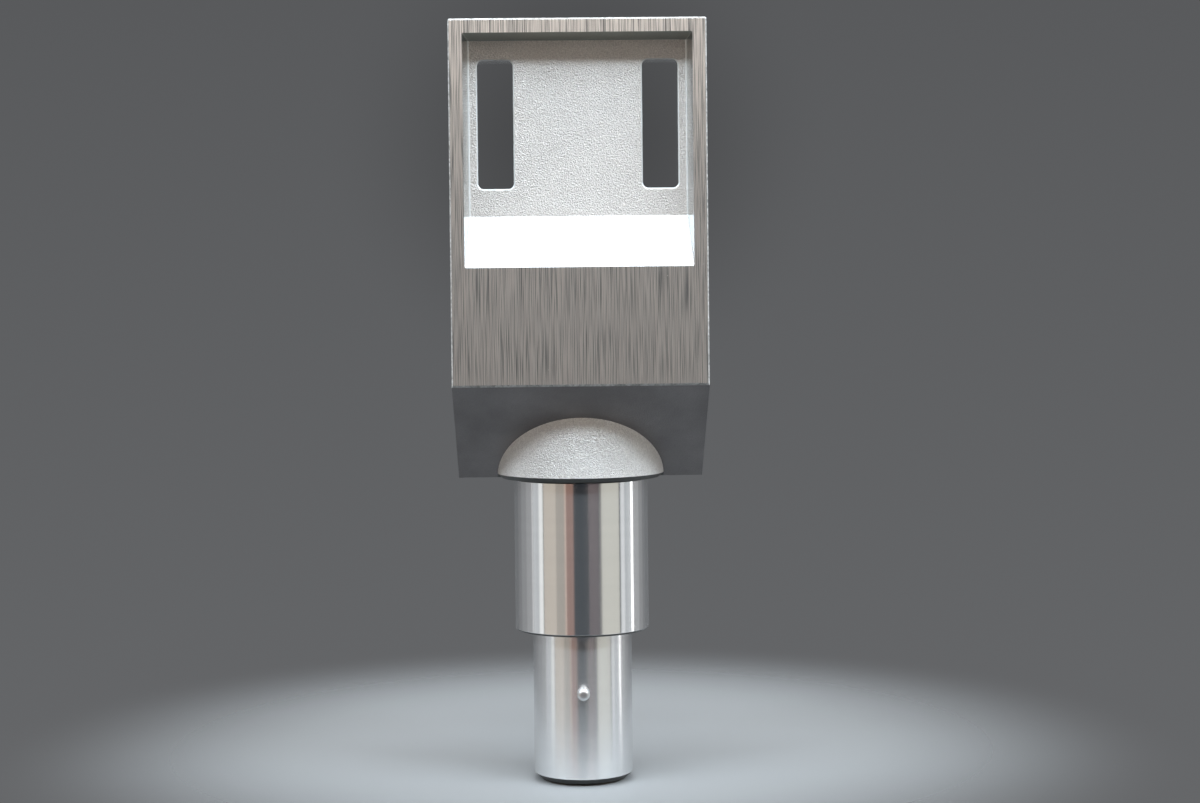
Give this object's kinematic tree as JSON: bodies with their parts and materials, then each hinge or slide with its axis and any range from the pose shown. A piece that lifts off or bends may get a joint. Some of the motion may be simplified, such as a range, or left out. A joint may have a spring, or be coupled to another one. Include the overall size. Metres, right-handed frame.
{
  "type": "turntable headshell",
  "caption": "Rectangular metal cartridge carrier with a slotted recess underneath, a slanted rear with a round boss, and a stepped bayonet neck.",
  "frame": {"origin": "on the neck axis, at the shoulder that seats against the tonearm", "axes": "+Z along the neck axis from the connector to the toe, -Y out of the cartridge side, +Y out of the top side"},
  "size_m": [0.0198, 0.0169, 0.0603],
  "materials": {
    "shell": "blasted, with a brushed underside",
    "neck": "turned and polished",
    "locating_pin": "polished",
    "contact_carrier": "moulded",
    "contacts": "gold plated"
  },
  "bodies": {
    "root": {"shell": "shell", "neck": "neck", "locating_pin": "locating_pin", "contact_carrier": "contact_carrier", "contact_pin_left_upper": "contacts", "contact_pin_right_upper": "contacts", "contact_pin_left_lower": "contacts", "contact_pin_right_lower": "contacts"}
  },
  "joints": []
}
